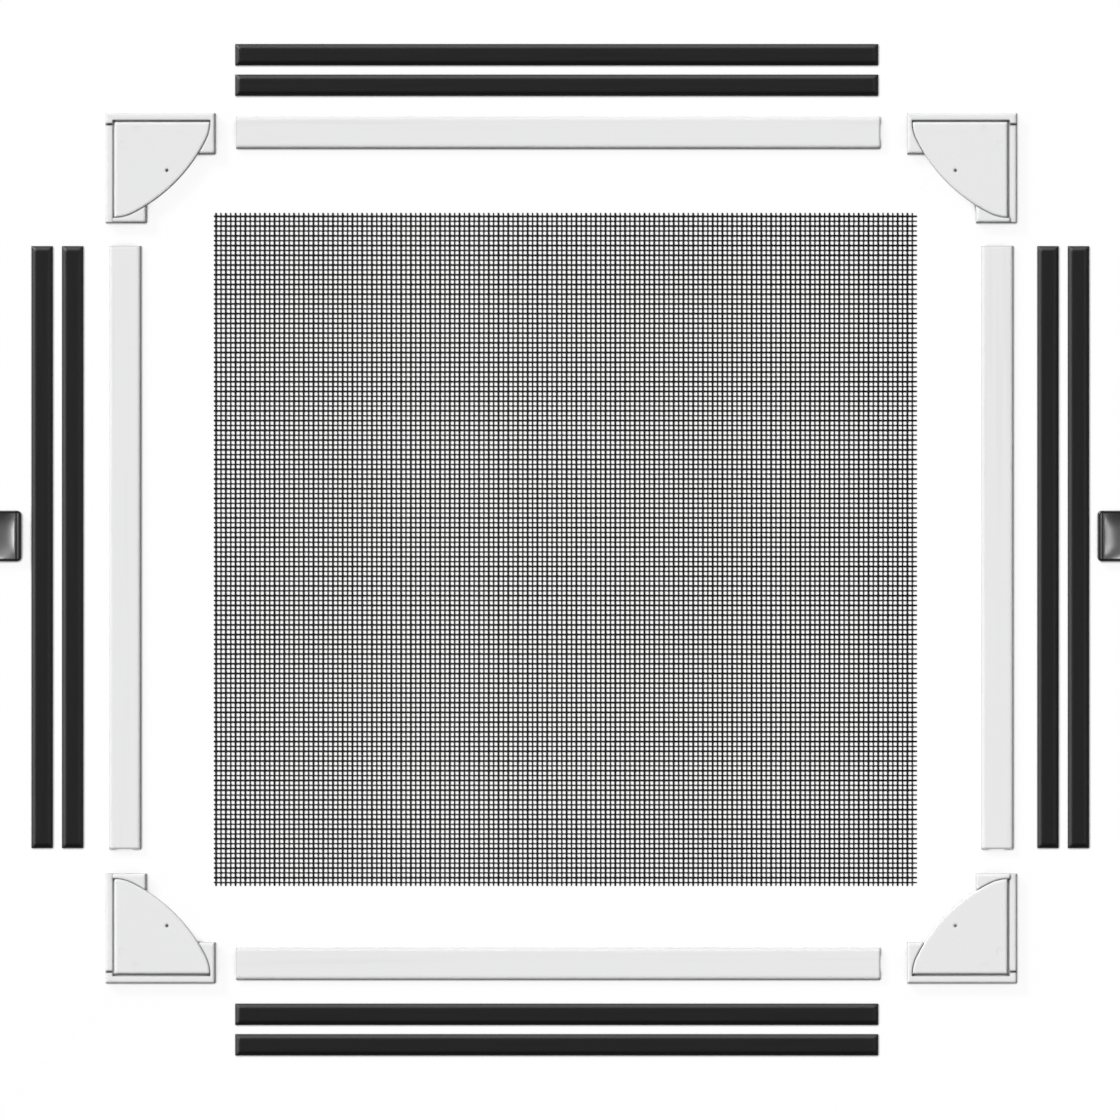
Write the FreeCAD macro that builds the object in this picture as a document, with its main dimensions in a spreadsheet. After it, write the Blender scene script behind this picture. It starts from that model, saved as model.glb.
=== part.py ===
"""Magnetic insect screen kit for a window, laid out flat as it comes out of its box.

Four channel bars and four corner sleeves make the frame, the mesh goes behind it, one magnetic strip
of each pair is pressed into a bar's back groove and the other is stuck to the window, and two pull
handles are stuck to the upright bars.  Z points up out of the front of every piece, X runs along the
level bars, and the origin is under the middle of the whole lay-out, on the surface that it lies on.
All sizes are in millimetres.
"""
import FreeCAD
import Part
import math
import os
import Sketcher

# Sizes that can be set by themselves
SIZES = {
    # Frame bars: a channel whose open back faces down
    "bar_width": 24.0,
    "bar_face_wall": 2.0,
    "bar_edge_round": 2.2,
    "level_bar_length": 483.0,
    "upright_bar_length": 452.2,
    # Back groove of a bar, which holds one strip over the edge of the mesh
    "groove_clearance": 0.2,
    "groove_play": 0.1,
    "groove_lip": 0.4,
    # Magnetic strips
    "strip_width": 16.0,
    "strip_thickness": 3.0,
    "strip_bevel_width": 3.0,
    "strip_bevel_drop": 1.4,
    "strip_end_relief": 0.4,
    # Corner sleeves: two sockets for bar ends around a solid elbow
    "sleeve_clearance": 0.2,
    "sleeve_outer_wall": 2.3,
    "sleeve_inner_wall": 3.9,
    "sleeve_back_wall": 1.4,
    "sleeve_front_wall": 1.4,
    "sleeve_edge_round": 1.8,
    "socket_depth": 51.6,
    "socket_mouth_bevel": 0.5,
    # Rim of a corner sleeve beside its plate, one step lower along the upright leg past a cross groove
    "rim_width": 5.5,
    "rim_groove_lead": 2.4,
    "rim_groove_width": 1.4,
    "rim_step_drop": 1.0,
    # Corner plates: bowed quarter rounds, set into the front of the sleeves
    "plate_gap": 1.4,
    "plate_bow_clearance": 0.15,
    "plate_seat_depth": 2.0,
    "plate_thickness": 2.0,
    "plate_side": 71.6,
    "plate_tip_radius": 30.0,
    "plate_bow_radius": 121.3,
    "plate_edge_round": 1.6,
    "pin_hole_radius": 1.1,
    "pin_hole_level": 39.3,
    "pin_hole_upright": 36.3,
    # Two studs in the seat of each plate
    "stud_radius": 2.5,
    "stud_height": 1.0,
    "stud_clearance": 0.1,
    "stud_near": 6.0,
    "stud_far": 17.0,
    # Insect mesh: bands of threads round the gaps
    "mesh_width": 527.4,
    "mesh_height": 504.8,
    "mesh_thickness": 0.8,
    "thread_pitch": 3.65,
    "thread_width": 1.2,
    "thread_rise": 0.25,
    "band_threads": 5,
    "gap_columns": 11,
    "gap_rows": 10,
    # Pull handles: a block with a finger dish and a slot across each end
    "handle_length": 50.0,
    "handle_width": 38.0,
    "handle_height": 8.0,
    "handle_corner_round": 3.3,
    "handle_edge_round": 1.2,
    "handle_slot_inset": 3.8,
    "handle_slot_width": 0.9,
    "handle_slot_depth": 0.8,
    "dish_end_margin": 5.2,
    "dish_side_margin": 1.6,
    "dish_depth": 2.4,
    "dish_end_round": 1.8,
    # Gaps between the pieces as they lie
    "lay_socket_gap": 17.8,
    "lay_level_strip_gap": 14.25,
    "lay_upright_strip_gap": 16.2,
    "lay_strip_pair_gap": 6.9,
    "lay_handle_gap": 6.75,
    # How far each group lies off the middle of the lay-out
    "ring_shift_x": 1.3,
    "ring_shift_y": 1.2,
    "level_bar_shift_x": -0.9,
    "upright_bar_shift_y": 1.7,
    "level_strip_shift_x": -2.1,
    "upright_strip_shift_x": 0.6,
    "upright_strip_shift_y": 2.0,
    "mesh_shift_x": 4.4,
    "mesh_shift_y": 0.3,
    "handle_shift_y": 10.3,
}

# Sizes that follow from the ones above; each may use the rows over it
WORKED_OUT = {
    "groove_depth": "size.groove_lip + size.strip_thickness + size.mesh_thickness + size.groove_play",
    "groove_half": "size.strip_width / 2 + size.groove_clearance",
    "mouth_half": "groove_half - size.strip_bevel_width",
    "bar_height": "groove_depth + size.bar_face_wall",
    "socket_width": "size.bar_width + 2 * size.sleeve_clearance",
    "socket_height": "bar_height + 2 * size.sleeve_clearance",
    "socket_top": "size.sleeve_back_wall + socket_height",
    "leg_width": "socket_width + size.sleeve_outer_wall + size.sleeve_inner_wall",
    "leg_length": "leg_width + size.socket_depth",
    "seat_height": "socket_top + size.sleeve_front_wall",
    "sleeve_height": "seat_height + size.plate_seat_depth",
    "plate_inset": "size.rim_width + size.plate_gap",
    # The bow's centre lies beyond the outer corner, on the diagonal of the plate
    "tip_reach": "size.plate_side - size.plate_tip_radius",
    "bow_reach": "size.plate_bow_radius - size.plate_tip_radius",
    "bow_centre": "(sqrt(2 * bow_reach ^ 2 - tip_reach ^ 2) - tip_reach) / 2",
    "bar_axis_inset": "size.sleeve_outer_wall + size.sleeve_clearance + size.bar_width / 2",
    "band_width": "size.thread_pitch * size.band_threads",
    "cell_x": "(size.mesh_width - band_width) / size.gap_columns",
    "cell_y": "(size.mesh_height - band_width) / size.gap_rows",
    "dish_half_width": "size.handle_width / 2 - size.dish_side_margin",
    "dish_radius": "(dish_half_width ^ 2 + size.dish_depth ^ 2) / (2 * size.dish_depth)",
    "dish_half_length": "size.handle_length / 2 - size.dish_end_margin",
    # Distances from the middle of the lay-out
    "corner_x": "size.level_bar_length / 2 + size.lay_socket_gap + leg_length",
    "corner_y": "size.upright_bar_length / 2 + size.lay_socket_gap + leg_length",
    "strip_pitch": "size.strip_width + size.lay_strip_pair_gap",
    "inner_strip_x": "corner_x + size.lay_upright_strip_gap + size.strip_width / 2",
    "inner_strip_y": "corner_y + size.lay_level_strip_gap + size.strip_width / 2",
    "outer_strip_x": "inner_strip_x + strip_pitch",
    "outer_strip_y": "inner_strip_y + strip_pitch",
    "handle_x": "outer_strip_x + (size.strip_width + size.handle_length) / 2 + size.lay_handle_gap",
}

TOUCH = 1e-6

doc = FreeCAD.newDocument("insect_screen_kit")


def fill_sheet(name, rows, lead=""):
    """A sheet with one named cell for each row."""
    sheet = doc.addObject("Spreadsheet::Sheet", name)
    for line, (alias, content) in enumerate(rows.items(), start=1):
        sheet.set(f"A{line}", alias)
        sheet.set(f"B{line}", f"{lead}{content}")
        sheet.setAlias(f"B{line}", alias)
    doc.recompute()
    return sheet


size = fill_sheet("size", SIZES)
calc = fill_sheet("calc", WORKED_OUT, lead="=")


def value(expression):
    """The number that an expression on the two sheets gives."""
    return float(size.evalExpression(expression))


def signed(side, expression):
    """The expression, or its opposite on the negative side."""
    return expression if side > 0 else f"-({expression})"


# Sketches and features


def origin_feature(body, role):
    return next(item for item in body.Origin.OriginFeatures if item.Role == role)


def sketch_on(body, name, plane, height="0"):
    """An empty sketch on one of the body's own planes, lifted off it by an expression."""
    sketch = body.newObject("Sketcher::SketchObject", name)
    sketch.AttachmentSupport = [(origin_feature(body, plane), "")]
    sketch.MapMode = "FlatFace"
    sketch.setExpression("AttachmentOffset.Base.z", height)
    return sketch


def bind(sketch, kind, elements, expression):
    """A dimension of the sketch that follows an expression."""
    number = sketch.addConstraint(Sketcher.Constraint(kind, *elements, value(expression)))
    label = f"{kind}_{number}"
    sketch.renameConstraint(number, label)
    sketch.setExpression(f"Constraints.{label}", expression)


def pin(sketch, edge, end, x, y):
    """Ties one point of an edge to a place given by two expressions."""
    bind(sketch, "DistanceX", (-1, 1, edge, end), x)
    bind(sketch, "DistanceY", (-1, 1, edge, end), y)


def arc_between(start, end, radius, turn):
    """The short arc from start to end that turns left (1) or right (-1)."""
    chord = end - start
    sagitta_side = FreeCAD.Vector(-chord.y, chord.x, 0).normalize() * turn
    centre = (start + end) / 2 + sagitta_side * math.sqrt(radius ** 2 - (chord.Length / 2) ** 2)
    first, last = (start, end) if turn > 0 else (end, start)
    angles = [math.atan2(point.y - centre.y, point.x - centre.x) for point in (first, last)]
    if angles[1] < angles[0]:
        angles[1] += 2 * math.pi
    circle = Part.Circle(centre, FreeCAD.Vector(0, 0, 1), radius)
    return Part.ArcOfCircle(circle, *angles)


def outline(sketch, points, mirror=(1, 1)):
    """A closed outline, given anticlockwise as pairs of expressions.

    A third expression in a point is the radius of an arc that leads to the next point.  The arc bends
    outward, or inward where the point has "inward" as its fourth item.
    """
    points = [(signed(mirror[0], x), signed(mirror[1], y), bend) for x, y, *bend in points]
    places = [FreeCAD.Vector(value(x), value(y), 0) for x, y, _ in points]
    ends = []
    for number, (x, y, bend) in enumerate(points):
        start, end = places[number], places[(number + 1) % len(places)]
        if bend:
            turn = mirror[0] * mirror[1] * (-1 if "inward" in bend else 1)
            edge = sketch.addGeometry(arc_between(start, end, value(bend[0]), turn))
            ends.append((edge, 1, 2) if turn > 0 else (edge, 2, 1))
        else:
            edge = sketch.addGeometry(Part.LineSegment(start, end))
            ends.append((edge, 1, 2))
    for (edge, _, last), (following, first, _) in zip(ends, ends[1:] + ends[:1]):
        sketch.addConstraint(Sketcher.Constraint("Coincident", edge, last, following, first))
    for (edge, first, _), (x, y, bend) in zip(ends, points):
        pin(sketch, edge, first, x, y)
        if bend:
            bind(sketch, "Radius", (edge,), bend[0])


def circle(sketch, x, y, radius):
    centre = FreeCAD.Vector(value(x), value(y), 0)
    edge = sketch.addGeometry(Part.Circle(centre, FreeCAD.Vector(0, 0, 1), value(radius)))
    pin(sketch, edge, 3, x, y)
    bind(sketch, "Radius", (edge,), radius)


def rectangle(left, low, right, high):
    """The four corners of an upright rectangle, anticlockwise."""
    return [(left, low), (right, low), (right, high), (left, high)]


def pad(body, name, sketch, length, both_ways=False):
    feature = body.newObject("PartDesign::Pad", name)
    feature.Profile = sketch
    feature.SideType = "Symmetric" if both_ways else "One side"
    feature.setExpression("Length", length)
    doc.recompute()
    return feature


def pocket(body, name, sketch, depth, forward=False):
    """Cuts back from the face of the sketch, or forward, and makes sure that material went."""
    before = body.Shape.Volume
    feature = body.newObject("PartDesign::Pocket", name)
    feature.Profile = sketch
    feature.Reversed = forward
    feature.setExpression("Length", depth)
    doc.recompute()
    if feature.Shape.Volume > before - TOUCH:
        raise RuntimeError(f"{body.Label}: {name} cuts nothing")
    return feature


def edges_where(feature, test):
    """Names of the edges whose every end passes the test."""
    return [
        f"Edge{number}"
        for number, edge in enumerate(feature.Shape.Edges, start=1)
        if all(test(vertex.Point) for vertex in edge.Vertexes)
    ]


def top_edges(feature):
    top = feature.Shape.BoundBox.ZMax
    return edges_where(feature, lambda point: abs(point.z - top) < TOUCH)


def round_edges(body, name, base, edges, radius):
    feature = body.newObject("PartDesign::Fillet", name)
    feature.Base = (base, edges)
    feature.setExpression("Radius", radius)
    doc.recompute()
    return feature


def bevel_edges(body, name, base, edges, drop, width):
    feature = body.newObject("PartDesign::Chamfer", name)
    feature.Base = (base, edges)
    feature.ChamferType = "Two distances"
    feature.setExpression("Size", drop)
    feature.setExpression("Size2", width)
    doc.recompute()
    return feature


def repeat(body, name, original, *rows):
    """Repeats a feature along one row and the whole row along the next.

    Each row is an axis, a pitch and a count.
    """
    feature = body.newObject("PartDesign::MultiTransform", name)
    steps = []
    for number, (axis, pitch, count) in enumerate(rows, start=1):
        step = body.newObject("PartDesign::LinearPattern", f"{name}_row_{number}")
        step.Direction = (origin_feature(body, axis), [""])
        step.Mode = "Spacing"
        step.setExpression("Offset", pitch)
        step.setExpression("Occurrences", count)
        steps.append(step)
    feature.Originals = [original]
    feature.Transformations = steps
    body.Tip = feature
    doc.recompute()
    return feature


def new_piece(label, x, y, turn=0):
    """An empty body, put down at a place and turned by whole degrees about the vertical."""
    body = doc.addObject("PartDesign::Body", label)
    body.Label = label
    body.Placement = FreeCAD.Placement(
        FreeCAD.Vector(value(x), value(y), 0), FreeCAD.Rotation(FreeCAD.Vector(0, 0, 1), turn)
    )
    body.setExpression("Placement.Base.x", x)
    body.setExpression("Placement.Base.y", y)
    return body


# The pieces of the kit


def frame_bar(label, length, x, y, turn):
    """Channel with rounded front edges and a dovetail groove along its back."""
    bar = new_piece(label, x, y, turn)
    half, height, edge = "size.bar_width / 2", "calc.bar_height", "size.bar_edge_round"
    lip_top = "size.groove_lip + size.strip_bevel_drop"
    section = sketch_on(bar, f"{label}_section", "YZ_Plane")
    outline(section, [
        ("calc.mouth_half", "0"),
        (half, "0"),
        (half, f"{height} - {edge}", edge),
        (f"{half} - {edge}", height),
        (f"-{half} + {edge}", height, edge),
        (f"-{half}", f"{height} - {edge}"),
        (f"-{half}", "0"),
        ("-calc.mouth_half", "0"),
        ("-calc.mouth_half", "size.groove_lip"),
        ("-calc.groove_half", lip_top),
        ("-calc.groove_half", "calc.groove_depth"),
        ("calc.groove_half", "calc.groove_depth"),
        ("calc.groove_half", lip_top),
        ("calc.mouth_half", "size.groove_lip"),
    ])
    pad(bar, f"{label}_channel", section, length, both_ways=True)
    return bar


def magnetic_strip(label, bar_length, x, y, turn):
    """Flat magnet, bevelled all round its face, a little shorter than its bar."""
    strip = new_piece(label, x, y, turn)
    half_length = f"{bar_length} / 2 - size.strip_end_relief"
    plan = sketch_on(strip, f"{label}_plan", "XY_Plane")
    outline(plan, rectangle(
        f"-({half_length})", "-size.strip_width / 2", half_length, "size.strip_width / 2"
    ))
    blank = pad(strip, f"{label}_blank", plan, "size.strip_thickness")
    bevel_edges(
        strip, f"{label}_bevel", blank, top_edges(blank),
        "size.strip_bevel_drop", "size.strip_bevel_width",
    )
    return strip


def bow_points(offset):
    """The bowed edge of a corner plate, moved outward by an expression, from tip to tip."""
    inset = "calc.plate_inset"
    tip_radius = f"size.plate_tip_radius + {offset}"
    bow_radius = f"size.plate_bow_radius + {offset}"
    tip = f"{inset} + size.plate_side + {offset}"
    back = f"{inset} - calc.bow_centre"
    far = f"{back} + ({bow_radius}) * (calc.tip_reach + calc.bow_centre) / calc.bow_reach"
    near = f"{back} + ({bow_radius}) * calc.bow_centre / calc.bow_reach"
    return [
        (tip, inset, tip_radius),
        (far, near, bow_radius),
        (near, far, tip_radius),
        (inset, tip),
    ]


def corner_sleeve(label, x, y, mirror):
    """Elbow with a socket in each leg, a seat for the plate and a rim round its outer sides."""
    sleeve = new_piece(label, x, y)
    length, width = "calc.leg_length", "calc.leg_width"

    elbow = sketch_on(sleeve, f"{label}_elbow", "XY_Plane")
    outline(elbow, [
        ("0", "0"), (length, "0"), (length, width), (width, width), (width, length), ("0", length),
    ], mirror)
    blank = pad(sleeve, f"{label}_blank", elbow, "calc.sleeve_height")
    round_edges(sleeve, f"{label}_front_edges", blank, top_edges(blank), "size.sleeve_edge_round")

    low, high = "size.sleeve_outer_wall", "size.sleeve_outer_wall + calc.socket_width"
    for way, corners in (
        ("level", rectangle(width, low, length, high)),
        ("upright", rectangle(low, width, high, length)),
    ):
        mouth = sketch_on(sleeve, f"{label}_{way}_socket_plan", "XY_Plane", "calc.socket_top")
        outline(mouth, corners, mirror)
        hollow = pocket(sleeve, f"{label}_{way}_socket", mouth, "calc.socket_height")

    front_flat = value("calc.sleeve_height - size.sleeve_edge_round")
    reach = value(length)
    mouth_edges = edges_where(hollow, lambda point: (
        TOUCH < point.z < front_flat - TOUCH and abs(max(abs(point.x), abs(point.y)) - reach) < TOUCH
    ))
    bevel_edges(
        sleeve, f"{label}_mouths", hollow, mouth_edges,
        "size.socket_mouth_bevel", "size.socket_mouth_bevel",
    )

    seat = sketch_on(sleeve, f"{label}_seat_plan", "XY_Plane", "calc.sleeve_height")
    bow = bow_points("size.plate_bow_clearance")
    tip = bow[0][0]
    outline(seat, [("size.rim_width", "size.rim_width"), (tip, "size.rim_width")]
            + bow + [("size.rim_width", tip)], mirror)
    pocket(sleeve, f"{label}_seat", seat, "size.plate_seat_depth")

    start = "size.rim_width + size.rim_groove_lead"
    low_rim = "calc.sleeve_height - size.rim_step_drop"
    edge = "size.sleeve_edge_round"
    step = sketch_on(sleeve, f"{label}_rim_step_section", "XZ_Plane", signed(-mirror[1], start))
    outline(step, [
        (edge, low_rim), ("size.rim_width", low_rim), ("size.rim_width", "calc.sleeve_height"),
        ("0", "calc.sleeve_height"), ("0", f"{low_rim} - {edge}", edge, "inward"),
    ], (mirror[0], 1))
    pocket(sleeve, f"{label}_rim_step", step, f"{length} - ({start})", forward=mirror[1] < 0)

    groove = sketch_on(sleeve, f"{label}_rim_groove_plan", "XY_Plane", "calc.sleeve_height")
    outline(groove, rectangle("0", start, "size.rim_width", f"{start} + size.rim_groove_width"), mirror)
    pocket(sleeve, f"{label}_rim_groove", groove, "size.plate_seat_depth")

    studs = sketch_on(sleeve, f"{label}_studs_plan", "XY_Plane", "calc.seat_height")
    for stud_x, stud_y in stud_places():
        circle(studs, signed(mirror[0], stud_x), signed(mirror[1], stud_y), "size.stud_radius")
    pad(sleeve, f"{label}_studs", studs, "size.stud_height")
    return sleeve


def stud_places():
    near, far = "calc.plate_inset + size.stud_near", "calc.plate_inset + size.stud_far"
    return (near, far), (far, near)


def corner_plate(label, x, y, mirror):
    """Bowed quarter round that covers the elbow, blind holes for the studs and one pin hole."""
    plate = new_piece(label, x, y)
    inset = "calc.plate_inset"
    top = "calc.seat_height + size.plate_thickness"

    plan = sketch_on(plate, f"{label}_plan", "XY_Plane", "calc.seat_height")
    outline(plan, [(inset, inset)] + bow_points("0"), mirror)
    blank = pad(plate, f"{label}_blank", plan, "size.plate_thickness")
    round_edges(plate, f"{label}_front_edges", blank, top_edges(blank), "size.plate_edge_round")

    pin_hole = sketch_on(plate, f"{label}_pin_hole_plan", "XY_Plane", top)
    circle(
        pin_hole,
        signed(mirror[0], f"{inset} + size.pin_hole_level"),
        signed(mirror[1], f"{inset} + size.pin_hole_upright"),
        "size.pin_hole_radius",
    )
    pocket(plate, f"{label}_pin_hole", pin_hole, "size.plate_thickness")

    holes = sketch_on(plate, f"{label}_stud_holes_plan", "XY_Plane", "calc.seat_height")
    for stud_x, stud_y in stud_places():
        circle(holes, signed(mirror[0], stud_x), signed(mirror[1], stud_y),
               "size.stud_radius + size.stud_clearance")
    pocket(plate, f"{label}_stud_holes", holes, "size.stud_height + size.stud_clearance", forward=True)
    return plate


def insect_mesh(label, x, y):
    """Thin wall with gaps, upright threads standing out of its front and level ones of its back."""
    mesh = new_piece(label, x, y)
    half_width, half_height = "size.mesh_width / 2", "size.mesh_height / 2"
    thread, band = "size.thread_width", "calc.band_width"
    side = "(size.thread_pitch - size.thread_width) / 2"

    sheet = sketch_on(mesh, f"{label}_outline", "XY_Plane", "size.thread_rise")
    outline(sheet, rectangle(f"-{half_width}", f"-{half_height}", half_width, half_height))
    pad(mesh, f"{label}_wall", sheet, "size.mesh_thickness - 2 * size.thread_rise")

    gap = sketch_on(mesh, f"{label}_gap_plan", "XY_Plane", "size.mesh_thickness")
    outline(gap, rectangle(
        f"-{half_width} + {band}", f"-{half_height} + {band}",
        f"-{half_width} + calc.cell_x", f"-{half_height} + calc.cell_y",
    ))
    first_gap = pocket(mesh, f"{label}_gap", gap, "size.mesh_thickness")
    repeat(mesh, f"{label}_gaps", first_gap,
           ("X_Axis", "calc.cell_x", "size.gap_columns"), ("Y_Axis", "calc.cell_y", "size.gap_rows"))

    upright = sketch_on(
        mesh, f"{label}_upright_plan", "XY_Plane", "size.mesh_thickness - size.thread_rise"
    )
    outline(upright, rectangle(
        f"-{half_width} + {side}", f"-{half_height}",
        f"-{half_width} + {side} + {thread}", half_height,
    ))
    first_upright = pad(mesh, f"{label}_upright_thread", upright, "size.thread_rise")
    repeat(mesh, f"{label}_upright_threads", first_upright,
           ("X_Axis", "size.thread_pitch", "size.band_threads"),
           ("X_Axis", "calc.cell_x", "size.gap_columns + 1"))

    level = sketch_on(mesh, f"{label}_level_plan", "XY_Plane")
    outline(level, rectangle(
        f"-{half_width}", f"-{half_height} + {side}",
        half_width, f"-{half_height} + {side} + {thread}",
    ))
    first_level = pad(mesh, f"{label}_level_thread", level, "size.thread_rise")
    repeat(mesh, f"{label}_level_threads", first_level,
           ("Y_Axis", "size.thread_pitch", "size.band_threads"),
           ("Y_Axis", "calc.cell_y", "size.gap_rows + 1"))
    return mesh


def pull_handle(label, x, y):
    """Rounded block with a finger dish in its face and a narrow slot across each end."""
    handle = new_piece(label, x, y)
    half_length, half_width = "size.handle_length / 2", "size.handle_width / 2"
    corner, height = "size.handle_corner_round", "size.handle_height"

    plan = sketch_on(handle, f"{label}_plan", "XY_Plane")
    outline(plan, [
        (f"-{half_length} + {corner}", f"-{half_width}"),
        (f"{half_length} - {corner}", f"-{half_width}", corner),
        (half_length, f"-{half_width} + {corner}"),
        (half_length, f"{half_width} - {corner}", corner),
        (f"{half_length} - {corner}", half_width),
        (f"-{half_length} + {corner}", half_width, corner),
        (f"-{half_length}", f"{half_width} - {corner}"),
        (f"-{half_length}", f"-{half_width} + {corner}", corner),
    ])
    blank = pad(handle, f"{label}_blank", plan, height)
    round_edges(handle, f"{label}_front_edges", blank, top_edges(blank), "size.handle_edge_round")

    slots = sketch_on(handle, f"{label}_slots_plan", "XY_Plane", height)
    for side in (1, -1):
        inner = f"{half_length} - size.handle_slot_inset - size.handle_slot_width / 2"
        outer = f"{half_length} - size.handle_slot_inset + size.handle_slot_width / 2"
        outline(slots, rectangle(inner, f"-{half_width}", outer, half_width), (side, 1))
    pocket(handle, f"{label}_slots", slots, "size.handle_slot_depth")

    dish = sketch_on(handle, f"{label}_dish_profile", "XZ_Plane")
    floor, end = f"{height} - size.dish_depth", "size.dish_end_round"
    axis_height = f"{floor} + calc.dish_radius"
    outline(dish, [
        (f"-calc.dish_half_length + {end}", floor),
        (f"calc.dish_half_length - {end}", floor, end),
        ("calc.dish_half_length", f"{floor} + {end}"),
        ("calc.dish_half_length", axis_height),
        ("-calc.dish_half_length", axis_height),
        ("-calc.dish_half_length", f"{floor} + {end}", end),
    ])
    axis = dish.addGeometry(Part.LineSegment(
        FreeCAD.Vector(-1, value(axis_height), 0), FreeCAD.Vector(1, value(axis_height), 0)
    ), True)
    pin(dish, axis, 1, "-1", axis_height)
    pin(dish, axis, 2, "1", axis_height)
    before = handle.Shape.Volume
    scoop = handle.newObject("PartDesign::Groove", f"{label}_dish")
    scoop.Profile = dish
    scoop.ReferenceAxis = (dish, ["Axis0"])
    scoop.Angle = 360
    doc.recompute()
    if scoop.Shape.Volume > before - TOUCH:
        raise RuntimeError(f"{label}: the dish cuts nothing")
    return handle


# Everything put down in its place

pieces = []
for name, side in (("top", 1), ("bottom", -1)):
    bar_y = f"size.ring_shift_y + {side} * (calc.corner_y - calc.bar_axis_inset)"
    pieces.append(frame_bar(
        f"{name}_frame_bar", "size.level_bar_length", "size.level_bar_shift_x", bar_y, 0
    ))
    for row in ("inner", "outer"):
        pieces.append(magnetic_strip(
            f"{name}_{row}_magnetic_strip", "size.level_bar_length",
            "size.level_strip_shift_x", f"{side} * calc.{row}_strip_y", 0,
        ))

for name, side in (("left", -1), ("right", 1)):
    bar_x = f"size.ring_shift_x + {side} * (calc.corner_x - calc.bar_axis_inset)"
    pieces.append(frame_bar(
        f"{name}_frame_bar", "size.upright_bar_length", bar_x, "size.upright_bar_shift_y", 90
    ))
    for row in ("inner", "outer"):
        pieces.append(magnetic_strip(
            f"{name}_{row}_magnetic_strip", "size.upright_bar_length",
            f"size.upright_strip_shift_x + {side} * calc.{row}_strip_x",
            "size.upright_strip_shift_y", 90,
        ))
    pieces.append(pull_handle(f"{name}_pull_handle", f"{side} * calc.handle_x", "size.handle_shift_y"))

for level, upright in ((-1, 1), (1, 1), (-1, -1), (1, -1)):
    name = ("top" if upright > 0 else "bottom") + ("_left" if level < 0 else "_right")
    x = f"size.ring_shift_x + {level} * calc.corner_x"
    y = f"size.ring_shift_y + {upright} * calc.corner_y"
    pieces.append(corner_sleeve(f"{name}_corner_sleeve", x, y, (-level, -upright)))
    pieces.append(corner_plate(f"{name}_corner_plate", x, y, (-level, -upright)))

pieces.append(insect_mesh("insect_mesh", "size.mesh_shift_x", "size.mesh_shift_y"))

doc.recompute()

for item in doc.Objects:
    if "Invalid" in item.State or "Error" in item.State:
        raise RuntimeError(f"{item.Label} failed: {item.State}")

os.makedirs("parts", exist_ok=True)
for piece in pieces:
    shape = piece.Shape
    if shape.isNull() or not shape.isValid() or len(shape.Solids) != 1:
        raise RuntimeError(f"{piece.Label} is not one sound solid")
    shape.exportStep(os.path.join("parts", f"{piece.Label}.step"))
    print(f"{piece.Label}: {shape.Volume / 1000:.2f} cubic centimetres")
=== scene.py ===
"""Looks of the insect screen kit, seen straight from above on a white table.

The mesh is woven here thread by thread and the pull handles are cut here with smooth dishes. Bars,
sleeves, plates and magnetic strips keep their shapes and get their plastics and rubber.
"""

import math

import bmesh
import bpy
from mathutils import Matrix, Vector


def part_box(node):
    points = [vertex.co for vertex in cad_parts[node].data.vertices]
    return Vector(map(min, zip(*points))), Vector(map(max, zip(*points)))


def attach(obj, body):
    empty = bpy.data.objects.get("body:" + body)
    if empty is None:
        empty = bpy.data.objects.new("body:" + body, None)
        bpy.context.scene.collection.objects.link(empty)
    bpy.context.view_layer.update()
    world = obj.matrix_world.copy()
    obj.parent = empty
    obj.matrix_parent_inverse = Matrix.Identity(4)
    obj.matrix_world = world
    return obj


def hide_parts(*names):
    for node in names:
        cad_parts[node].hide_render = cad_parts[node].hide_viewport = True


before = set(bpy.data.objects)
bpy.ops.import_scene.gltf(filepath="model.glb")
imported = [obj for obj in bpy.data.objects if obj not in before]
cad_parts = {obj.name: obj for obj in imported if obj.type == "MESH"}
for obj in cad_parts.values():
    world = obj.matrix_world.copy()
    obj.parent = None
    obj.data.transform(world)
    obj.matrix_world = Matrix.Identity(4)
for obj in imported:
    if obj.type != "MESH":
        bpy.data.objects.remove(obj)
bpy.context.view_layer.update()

MM = 0.001

VIEW_WIDTH = 0.840
VIEW_CENTRE = Vector((0.0004, -0.0077, 0.0))
LENS = 400.0
SENSOR = 36.0


def place_camera():
    lens = bpy.data.cameras.new("overhead_camera")
    lens.sensor_width = SENSOR
    lens.lens = LENS
    camera = bpy.data.objects.new("overhead_camera", lens)
    camera.location = VIEW_CENTRE + Vector((0.0, 0.0, VIEW_WIDTH * LENS / SENSOR))
    bpy.context.scene.collection.objects.link(camera)
    bpy.context.scene.camera = camera


# Node trees

# Where the mix node keeps its colour sockets, whose names it gives to others too
MIX_FIRST = 6
MIX_SECOND = 7
MIX_RESULT = 2


class Wire:
    """A node's output that plain arithmetic turns into more nodes."""

    def __init__(self, tree, socket):
        self.tree = tree
        self.socket = socket

    def maths(self, operation, first, second):
        return self.tree.node("ShaderNodeMath", {"operation": operation}, {0: first, 1: second})

    def __add__(self, other):
        return self.maths("ADD", self, other)

    def __sub__(self, other):
        return self.maths("SUBTRACT", self, other)

    def __rsub__(self, other):
        return self.maths("SUBTRACT", other, self)

    def __mul__(self, other):
        return self.maths("MULTIPLY", self, other)

    def __abs__(self):
        return self.maths("ABSOLUTE", self, 0.0)

    __radd__ = __add__
    __rmul__ = __mul__


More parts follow.
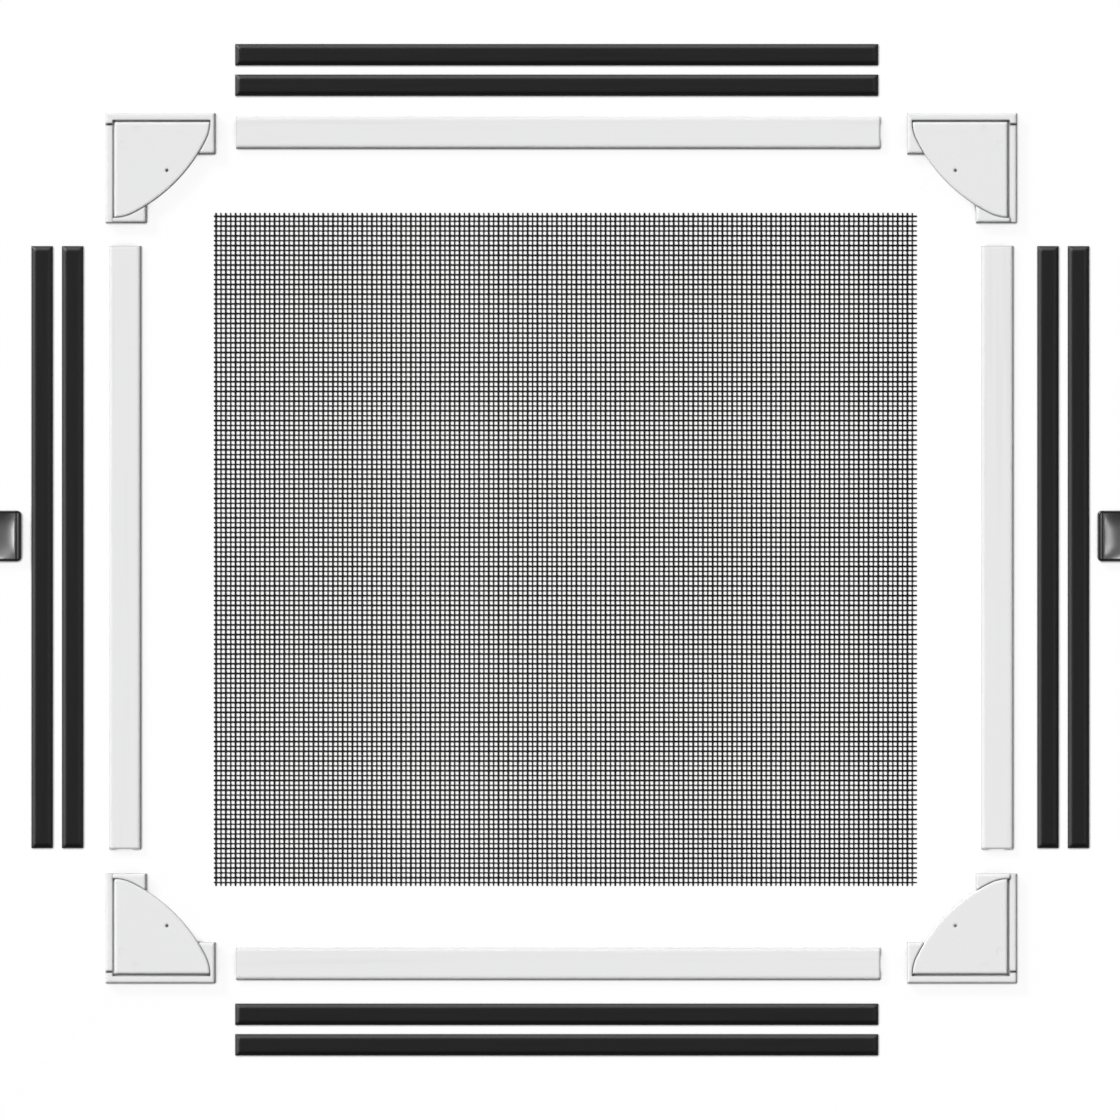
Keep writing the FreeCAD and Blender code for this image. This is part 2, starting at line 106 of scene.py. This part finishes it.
class Tree:
    """The node tree of a finish or of the world."""

    def __init__(self, owner):
        owner.use_nodes = True
        self.nodes = owner.node_tree.nodes
        self.links = owner.node_tree.links
        self.nodes.clear()

    def node(self, kind, settings=None, sockets=None, output=0):
        made = self.nodes.new(kind)
        for name, setting in (settings or {}).items():
            setattr(made, name, setting)
        for name, given in (sockets or {}).items():
            if isinstance(given, Wire):
                self.links.new(given.socket, made.inputs[name])
            else:
                made.inputs[name].default_value = given
        return Wire(self, made.outputs[output]) if made.outputs else None

    def smooth_step(self, value, low, high):
        """0 below low, 1 above high and a soft passage between."""
        return self.node(
            "ShaderNodeMapRange", {"interpolation_type": "SMOOTHSTEP"},
            {"Value": value, "From Min": low, "From Max": high, "To Min": 0.0, "To Max": 1.0},
        )

    def mix_colour(self, share, first, second):
        """The first colour where share is 0 and the second where it is 1."""
        sockets = {"Factor": share, MIX_FIRST: first, MIX_SECOND: second}
        return self.node("ShaderNodeMix", {"data_type": "RGBA"}, sockets, MIX_RESULT)

    def place(self):
        return self.node("ShaderNodeTexCoord", output="Object")

    def part_of(self, vector, axis):
        return self.node("ShaderNodeSeparateXYZ", sockets={"Vector": vector}, output=axis)

    def grain(self, scale, detail=2.0, stretch=(1.0, 1.0, 1.0)):
        """Noise with so many bumps to a metre, drawn out along the axes where stretch is small."""
        spread = self.node(
            "ShaderNodeMapping", sockets={"Vector": self.place(), "Scale": stretch}
        )
        sockets = {"Vector": spread, "Scale": scale, "Detail": detail}
        return self.node("ShaderNodeTexNoise", sockets=sockets)

    def relief(self, height, depth, strength, base=None):
        """A normal that follows a height map; depth is the real height of its full swing."""
        sockets = {"Height": height, "Distance": depth, "Strength": strength}
        if base is not None:
            sockets["Normal"] = base
        return self.node("ShaderNodeBump", sockets=sockets)


def grey(level):
    return (level, level, level, 1.0)


def new_finish(name):
    material = bpy.data.materials.new(name)
    return material, Tree(material)


def close_finish(tree, sockets):
    shader = tree.node("ShaderNodeBsdfPrincipled", sockets=sockets)
    tree.node("ShaderNodeOutputMaterial", sockets={"Surface": shader})


# White plastic

WHITE = 0.79
COOL_WHITE = (0.795, 0.80, 0.81, 1.0)
WORN_AND_LIT_WHITE = 0.82
# Painted shade in the pieces' own grooves, holes and hollows: its tone and how far it looks
PAINTED_SHADE_TONE = 0.16
PAINTED_SHADE_REACH = 20.0 * MM
DRAWN_LINES = 420.0
DRAWN_DEPTH = 0.03 * MM
MOULDED_GRAIN = 2600.0
MOULDED_DEPTH = 0.04 * MM
CLOUD_GRAIN = 14.0
BAR_SOFTNESS = 3.2 * MM
CORNER_SOFTNESS = 2.2 * MM

# In every finish: how far the normal turns on a full edge, and how much its tone lightens there,
# partly wear and partly painted highlight
FULL_EDGE = 0.25
WEAR_AND_SHEEN_SHARE = 0.3


def openness(tree, reach, low, high, own_only=False, **facing):
    """1 in the open and 0 deep in a gap or hole, judged by what stands within reach."""
    open_share = tree.node(
        "ShaderNodeAmbientOcclusion", {"samples": 6, "only_local": own_only},
        {"Color": grey(1.0), "Distance": reach, **facing}, "AO",
    )
    return tree.smooth_step(open_share, low, high)


def edge_wear_and_sheen(tree, radius):
    """The normal softened over a radius, and how far it turns: 1 on an edge and 0 on a flat;
    finishes lighten their edges by it, partly as wear and partly as painted highlight.
    """
    softened = tree.node("ShaderNodeBevel", {"samples": 4}, {"Radius": radius})
    flat = tree.node("ShaderNodeNewGeometry", output="Normal")
    likeness = tree.node(
        "ShaderNodeVectorMath", {"operation": "DOT_PRODUCT"}, {0: softened, 1: flat}, "Value"
    )
    return softened, tree.smooth_step(1.0 - likeness, 0.0, FULL_EDGE)


def white_plastic(name, stretch, line_scale, line_depth, softness):
    """White polyvinyl: drawn lines or moulded grain, soft edges and a faint unevenness of tone,
    edges lightened partly by wear and partly as painted highlight, and painted shade in its own
    grooves and hollows.
    """
    material, tree = new_finish(name)
    lines = tree.grain(line_scale, 3.0, stretch)
    cloud = tree.grain(CLOUD_GRAIN)
    soft, wear_and_sheen = edge_wear_and_sheen(tree, softness)
    tone = tree.mix_colour(lines, grey(WHITE - 0.012), grey(WHITE + 0.010))
    tone = tree.mix_colour(cloud * 0.35, tone, COOL_WHITE)
    streaks = tree.smooth_step(tree.grain(line_scale * 0.4, 1.0, stretch), 0.58, 0.70)
    tone = tree.mix_colour(streaks * 0.5, tone, grey(WHITE - 0.05))
    # The edges lighten: partly wear, partly painted highlight
    tone = tree.mix_colour(wear_and_sheen * WEAR_AND_SHEEN_SHARE, tone, grey(WORN_AND_LIT_WHITE))
    # Painted shade: the tone darkens where the piece's own grooves and holes hide the open sky
    clear = openness(tree, PAINTED_SHADE_REACH, 0.60, 1.0, own_only=True, Normal=soft)
    tone = tree.mix_colour(clear, grey(PAINTED_SHADE_TONE), tone)
    close_finish(tree, {
        "Base Color": tone,
        "Roughness": 0.5 + 0.12 * lines + 0.05 * cloud,
        "Normal": tree.relief(lines, line_depth, 0.35, soft),
        "Specular IOR Level": 0.25,
    })
    return material


# Black magnetic rubber

RUBBER_TONES = (0.005, 0.009)
SPECKLE_TONE = 0.016
WORN_AND_LIT_RUBBER = 0.03
STREAK_GRAIN = 700.0
SPECKLE_GRAIN = 3500.0
RUBBER_SOFTNESS = 2.4 * MM
RUBBER_DEPTH = 0.02 * MM


def magnetic_rubber(name, stretch):
    """Ferrite-filled rubber: near black, satin, with drawn streaks and a fine ground speckle."""
    material, tree = new_finish(name)
    streaks = tree.grain(STREAK_GRAIN, 3.0, stretch)
    speckle = tree.grain(SPECKLE_GRAIN)
    soft, wear_and_sheen = edge_wear_and_sheen(tree, RUBBER_SOFTNESS)
    dark, light = RUBBER_TONES
    tone = tree.mix_colour(streaks, grey(dark), grey(light))
    ground = tree.smooth_step(speckle, 0.55, 0.75)
    tone = tree.mix_colour(ground * 0.5, tone, grey(SPECKLE_TONE))
    # The edges lighten: partly wear, partly painted highlight
    tone = tree.mix_colour(wear_and_sheen * WEAR_AND_SHEEN_SHARE, tone, grey(WORN_AND_LIT_RUBBER))
    close_finish(tree, {
        "Base Color": tone,
        "Roughness": 0.28 + 0.08 * streaks + 0.06 * speckle,
        "Normal": tree.relief(streaks * 0.6 + speckle * 0.4, RUBBER_DEPTH, 0.4, soft),
        "Specular IOR Level": 0.5,
    })
    return material


# Coated thread

THREAD_TONES = (0.004, 0.010)
PATCH_TONE = 0.009
COAT_GRAIN = 2600.0
PATCH_GRAIN = 22.0
COAT_DEPTH = 0.03 * MM


def coated_thread():
    """Glass yarn dipped in black vinyl: dull sheen, slightly uneven coat."""
    material, tree = new_finish("coated_thread")
    coat = tree.grain(COAT_GRAIN)
    patches = tree.grain(PATCH_GRAIN)
    dark, light = THREAD_TONES
    tone = tree.mix_colour(coat, grey(dark), grey(light))
    tone = tree.mix_colour(patches * 0.4, tone, grey(PATCH_TONE))
    close_finish(tree, {
        "Base Color": tone,
        "Roughness": 0.5 + 0.2 * coat,
        "Normal": tree.relief(coat, COAT_DEPTH, 0.5),
        "Specular IOR Level": 0.2,
    })
    return material


# Gloss black handles

HANDLE_LENGTH = 50.0 * MM
HANDLE_WIDTH = 38.0 * MM
HANDLE_HEIGHT = 8.0 * MM
HANDLE_CORNER = 3.3 * MM
HANDLE_EDGE = 1.2 * MM
SLOT_INSET = 3.8 * MM
SLOT_WIDTH = 0.9 * MM
SLOT_DEPTH = 0.8 * MM
DISH_END_MARGIN = 5.2 * MM
DISH_SIDE_MARGIN = 1.6 * MM
DISH_DEPTH = 2.6 * MM
DISH_LIP = 0.3 * MM
DISH_END = HANDLE_LENGTH / 2 - DISH_END_MARGIN
SLOT_FLOOR = HANDLE_HEIGHT - SLOT_DEPTH
HANDLE_BORDER = 1.9 * MM
HANDLE_SOFTNESS = 0.3 * MM
FACE_FADE = 0.4 * MM
FACE_TONE = 0.32
BORDER_TONE = 0.008
WORN_AND_LIT_GLOSS = 0.03
HAZE_GRAIN = 60.0
SCRATCH_GRAIN = 1400.0
SCRATCH_STRETCH = (0.03, 1.0, 1.0)
SCRATCH_DEPTH = 0.012 * MM
HANDLE_CREASE = math.radians(12)


def handle_gloss(centre, name):
    """Glossy black moulding with a smoked metal face set inside its border."""
    material, tree = new_finish(name)
    place = tree.place()
    off_x = abs(tree.part_of(place, "X") - centre.x)
    off_y = abs(tree.part_of(place, "Y") - centre.y)
    height = tree.part_of(place, "Z")
    depth = 1.0 - tree.smooth_step(height, SLOT_FLOOR, HANDLE_HEIGHT - DISH_LIP)
    slot = tree.smooth_step(off_x, DISH_END, DISH_END + 0.1 * MM) * depth
    end = HANDLE_LENGTH / 2 - HANDLE_BORDER
    side = HANDLE_WIDTH / 2 - HANDLE_BORDER
    face = 1.0 - tree.smooth_step(off_x, end - FACE_FADE, end)
    face = face * (1.0 - tree.smooth_step(off_y, side - FACE_FADE, side)) * (1.0 - slot)
    haze = tree.grain(HAZE_GRAIN, 3.0)
    scratches = tree.grain(SCRATCH_GRAIN, 2.0, SCRATCH_STRETCH)
    soft, wear_and_sheen = edge_wear_and_sheen(tree, HANDLE_SOFTNESS)
    tone = tree.mix_colour(face, grey(BORDER_TONE), grey(FACE_TONE))
    # The edges lighten: partly wear, partly painted highlight
    tone = tree.mix_colour(wear_and_sheen * WEAR_AND_SHEEN_SHARE, tone, grey(WORN_AND_LIT_GLOSS))
    close_finish(tree, {
        "Base Color": tone,
        "Metallic": face * 0.95,
        "Roughness": 0.24 + 0.08 * haze + 0.06 * scratches,
        "Normal": tree.relief(scratches * 0.5 + haze * 0.5, SCRATCH_DEPTH, 0.3, soft),
        "IOR": 1.5,
        "Coat Weight": 0.3,
        "Coat Roughness": 0.10,
    })
    return material


# Mesh helpers


def finished_piece(name, shape, material, smooth_under=None):
    bmesh.ops.recalc_face_normals(shape, faces=shape.faces)
    for face in shape.faces:
        face.smooth = smooth_under is not None
    if smooth_under is not None:
        for edge in shape.edges:
            edge.smooth = edge.calc_face_angle(0.0) < smooth_under
    mesh = bpy.data.meshes.new(name)
    shape.to_mesh(mesh)
    shape.free()
    mesh.materials.append(material)
    piece = bpy.data.objects.new(name, mesh)
    bpy.context.scene.collection.objects.link(piece)
    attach(piece, "root")
    return piece


def block(shape, size, centre):
    made = bmesh.ops.create_cube(shape, size=1.0)["verts"]
    bmesh.ops.scale(shape, vec=size, verts=made)
    bmesh.ops.translate(shape, vec=centre, verts=made)
    return made


# Woven insect mesh

WARP_COUNT = 144
WEFT_COUNT = 138
WARP_PITCH = 3.651 * MM
WEFT_PITCH = 3.647 * MM
WARP_WIDTHS = (1.28 * MM, 0.90 * MM)
WEFT_WIDTHS = (0.83 * MM, 1.20 * MM)
THREAD_RISE = 0.268 * MM
FIRST_WARP_INSET = 1.7 * MM
THREAD_CREASE = math.radians(100)


def weave_mesh(material):
    """Level threads lie flat, upright ones rise and dip over them; heavy and light take turns."""
    low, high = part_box("insect_mesh")
    middle = (low + high) / 2
    width = high.x - low.x
    height = high.y - low.y
    first_x = low.x + FIRST_WARP_INSET
    first_y = middle.y - WEFT_PITCH * (WEFT_COUNT - 1) / 2
    rise = (high.z - low.z - THREAD_RISE) / 2
    shape = bmesh.new()

    for phase, thread_width in enumerate(WEFT_WIDTHS):
        y = first_y + phase * WEFT_PITCH
        weft = block(shape, (width, thread_width, THREAD_RISE), (middle.x, y, middle.z))
        repeat_thread(shape, weft, Vector((0.0, 2 * WEFT_PITCH, 0.0)), WEFT_COUNT // 2)

    for phase, thread_width in enumerate(WARP_WIDTHS):
        x = first_x + phase * WARP_PITCH
        laid = len(shape.verts)
        warp = block(shape, (thread_width, height, THREAD_RISE), (x, middle.y, middle.z))
        lengthwise = {
            edge for vert in warp for edge in vert.link_edges
            if abs(edge.verts[0].co.y - edge.verts[1].co.y) > height / 2
        }
        cut = bmesh.ops.subdivide_edges(shape, edges=list(lengthwise), cuts=WEFT_COUNT)
        rings = sorted(
            {item for item in cut["geom_inner"] if isinstance(item, bmesh.types.BMVert)},
            key=lambda vert: vert.co.y,
        )
        for number, vert in enumerate(rings):
            ring = number // 4
            vert.co.y = first_y + ring * WEFT_PITCH
            vert.co.z += rise if (ring + phase) % 2 else -rise
        thread = list(shape.verts)[laid:]
        repeat_thread(shape, thread, Vector((2 * WARP_PITCH, 0.0, 0.0)), WARP_COUNT // 2)

    mesh = finished_piece("woven_insect_mesh", shape, material, THREAD_CREASE)
    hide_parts("insect_mesh")


def repeat_thread(shape, verts, step, count):
    """Lays copies of one thread beside it, one step apart."""
    faces = {face for vert in verts for face in vert.link_faces}
    edges = {edge for vert in verts for edge in vert.link_edges}
    thread = list(verts) + list(edges) + list(faces)
    for number in range(1, count):
        copy = bmesh.ops.duplicate(shape, geom=thread)["geom"]
        moved = [item for item in copy if isinstance(item, bmesh.types.BMVert)]
        bmesh.ops.translate(shape, vec=step * number, verts=moved)


# Pull handles


def dish_cutter():
    """A pillow that hollows the face: deepest in the middle and steepest at its edges."""
    half_width = HANDLE_WIDTH / 2 - DISH_SIDE_MARGIN
    tool = bmesh.new()
    bmesh.ops.create_grid(tool, x_segments=56, y_segments=48, size=1.0)
    bmesh.ops.scale(tool, vec=(DISH_END, half_width, 1.0), verts=tool.verts)
    for vert in tool.verts:
        along = abs(vert.co.x) / DISH_END
        across = abs(vert.co.y) / half_width
        hollow = DISH_DEPTH * (1 - along ** 3) * (1 - across ** 3)
        vert.co.z = HANDLE_HEIGHT - DISH_LIP - hollow
    walls = bmesh.ops.extrude_face_region(tool, geom=tool.faces)["geom"]
    for vert in walls:
        if isinstance(vert, bmesh.types.BMVert):
            vert.co.z = HANDLE_HEIGHT * 1.5
    return tool


def cut_handle(side):
    """A rounded block with a finger dish and a slot across each end."""
    node = f"{side}_pull_handle"
    low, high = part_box(node)
    centre = (low + high) / 2
    centre.z = 0.0
    body = bmesh.new()
    block(body, (HANDLE_LENGTH, HANDLE_WIDTH, HANDLE_HEIGHT), (0.0, 0.0, HANDLE_HEIGHT / 2))
    upright = [
        edge for edge in body.edges
        if abs(edge.verts[0].co.z - edge.verts[1].co.z) > HANDLE_HEIGHT / 2
    ]
    bmesh.ops.bevel(body, geom=upright, offset=HANDLE_CORNER, segments=8, profile=0.5,
                    affect="EDGES", material=-1)
    rim = [
        edge for edge in body.edges
        if all(vert.co.z > HANDLE_HEIGHT - 0.01 * MM for vert in edge.verts)
    ]
    bmesh.ops.bevel(body, geom=rim, offset=HANDLE_EDGE, segments=5, profile=0.5,
                    affect="EDGES", material=-1)

    tool = dish_cutter()
    slot_size = (SLOT_WIDTH, HANDLE_WIDTH * 1.2, 2 * SLOT_DEPTH)
    for way in (-1, 1):
        block(tool, slot_size, (way * (HANDLE_LENGTH / 2 - SLOT_INSET), 0.0, HANDLE_HEIGHT))
    bmesh.ops.recalc_face_normals(tool, faces=tool.faces)
    shape = cut_away(body, tool)
    bmesh.ops.translate(shape, vec=centre, verts=shape.verts)
    gloss = handle_gloss(centre, f"{side}_handle_gloss")
    piece = finished_piece(f"{side}_finger_pull", shape, gloss, HANDLE_CREASE)
    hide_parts(node)


def cut_away(body, tool):
    """The body less the tool."""
    pair = []
    for name, shape in (("handle_blank", body), ("handle_cutter", tool)):
        mesh = bpy.data.meshes.new(name)
        shape.to_mesh(mesh)
        shape.free()
        item = bpy.data.objects.new(name, mesh)
        bpy.context.scene.collection.objects.link(item)
        pair.append(item)
    blank, cutter = pair
    cut = blank.modifiers.new("cut", "BOOLEAN")
    cut.operation = "DIFFERENCE"
    cut.solver = "EXACT"
    cut.object = cutter
    graph = bpy.context.evaluated_depsgraph_get()
    shape = bmesh.new()
    shape.from_mesh(blank.evaluated_get(graph).to_mesh())
    for item in pair:
        bpy.data.objects.remove(item)
    bmesh.ops.remove_doubles(shape, verts=shape.verts, dist=0.002 * MM)
    return shape


# Table, lamps and sky

TABLE_HALF = 30.0
TABLE_DROP = 0.1 * MM
TABLE_WHITE = 0.95
TABLE_BOUNCE_AND_SHADE = 0.15
TABLE_GLOW = 0.94
SHADE_REACH = 60.0 * MM
CONTACT_REACH = 1.8 * MM
SKY_DIM = 0.05
SKY_SIDE = 0.07
SKY_TOP = 0.13

LAMPS = {
    "key_lamp": ((-0.55, 0.55, 0.62), 3.25, 14.0),
    "top_lamp": ((0.0, 0.77, 0.64), 0.52, 24.0),
    "left_lamp": ((-0.77, 0.0, 0.64), 0.52, 24.0),
    "right_lamp": ((0.55, 0.10, 0.83), 0.26, 22.0),
}


def lay_table():
    shape = bmesh.new()
    bmesh.ops.create_grid(shape, x_segments=1, y_segments=1, size=TABLE_HALF)
    bmesh.ops.translate(shape, vec=(0.0, 0.0, -TABLE_DROP), verts=shape.verts)
    mesh = bpy.data.meshes.new("table_top")
    shape.to_mesh(mesh)
    shape.free()
    table = bpy.data.objects.new("table_top", mesh)
    bpy.context.scene.collection.objects.link(table)

    material, tree = new_finish("table_white")
    seen = tree.node("ShaderNodeLightPath", output="Is Camera Ray")
    seen = seen + tree.node("ShaderNodeLightPath", output="Is Glossy Ray")
    seen = seen + tree.node("ShaderNodeLightPath", output="Is Transmission Ray")
    # Painted shade under the pieces: where things stand close over the table, its shown colour
    # drops to the dim bounce grey and its glow fades
    seen = seen * openness(tree, SHADE_REACH, 0.16, 0.40)
    clear = openness(tree, CONTACT_REACH, 0.55, 0.95)
    surface = tree.node("ShaderNodeBsdfDiffuse", sockets={
        "Color": tree.mix_colour(seen, grey(TABLE_BOUNCE_AND_SHADE), grey(TABLE_WHITE)),
    })
    glow = tree.node("ShaderNodeEmission", sockets={"Color": grey(1.0), "Strength": 1.0})
    both = tree.node("ShaderNodeMixShader", sockets={
        "Fac": seen * clear * TABLE_GLOW, 1: surface, 2: glow,
    })
    tree.node("ShaderNodeOutputMaterial", sockets={"Surface": both})
    mesh.materials.append(material)


def hang_lamp(name, towards, strength, spread):
    lamp = bpy.data.lights.new(name, "SUN")
    lamp.energy = strength
    lamp.angle = math.radians(spread)
    holder = bpy.data.objects.new(name, lamp)
    holder.rotation_euler = Vector(towards).to_track_quat("Z", "Y").to_euler()
    bpy.context.scene.collection.objects.link(holder)


def light_sky():
    """A dim sky, brightest overhead and a little brighter to the upper left."""
    world = bpy.data.worlds.new("studio_sky")
    bpy.context.scene.world = world
    tree = Tree(world)
    direction = tree.node("ShaderNodeTexCoord", output="Generated")
    height = tree.part_of(direction, "Z")
    upper_left = tree.part_of(direction, "Y") - tree.part_of(direction, "X")
    light = SKY_DIM + SKY_SIDE * tree.smooth_step(upper_left, -0.4, 0.8)
    light = light + SKY_TOP * tree.smooth_step(height, 0.90, 0.99)
    sky = tree.node("ShaderNodeBackground", sockets={"Color": light, "Strength": 1.0})
    tree.node("ShaderNodeOutputWorld", sockets={"Surface": sky})


bpy.context.scene.view_settings.view_transform = "Standard"
place_camera()
lay_table()
for lamp_name, (towards, strength, spread) in LAMPS.items():
    hang_lamp(lamp_name, towards, strength, spread)
light_sky()

# Finishes of the pieces that keep their own shapes

LEVEL = (0.02, 1.0, 1.0)
UPRIGHT = (1.0, 0.02, 1.0)
EVEN = (1.0, 1.0, 1.0)
FINISHES = {
    "corner": white_plastic("moulded_white", EVEN, MOULDED_GRAIN, MOULDED_DEPTH, CORNER_SOFTNESS),
}
for way, stretch in (("level", LEVEL), ("upright", UPRIGHT)):
    FINISHES[f"bar_{way}"] = white_plastic(
        f"drawn_white_{way}", stretch, DRAWN_LINES, DRAWN_DEPTH, BAR_SOFTNESS
    )
    FINISHES[f"strip_{way}"] = magnetic_rubber(f"magnetic_rubber_{way}", stretch)


def finish_for(node):
    """Chooses a finish from a node's name."""
    way = "level" if node.startswith(("top_", "bottom_")) else "upright"
    if node.endswith("_frame_bar"):
        return FINISHES[f"bar_{way}"]
    if node.endswith("_magnetic_strip"):
        return FINISHES[f"strip_{way}"]
    return FINISHES["corner"]


for node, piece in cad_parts.items():
    for slot in piece.material_slots:
        slot.material = finish_for(node)

weave_mesh(coated_thread())
for side in ("left", "right"):
    cut_handle(side)
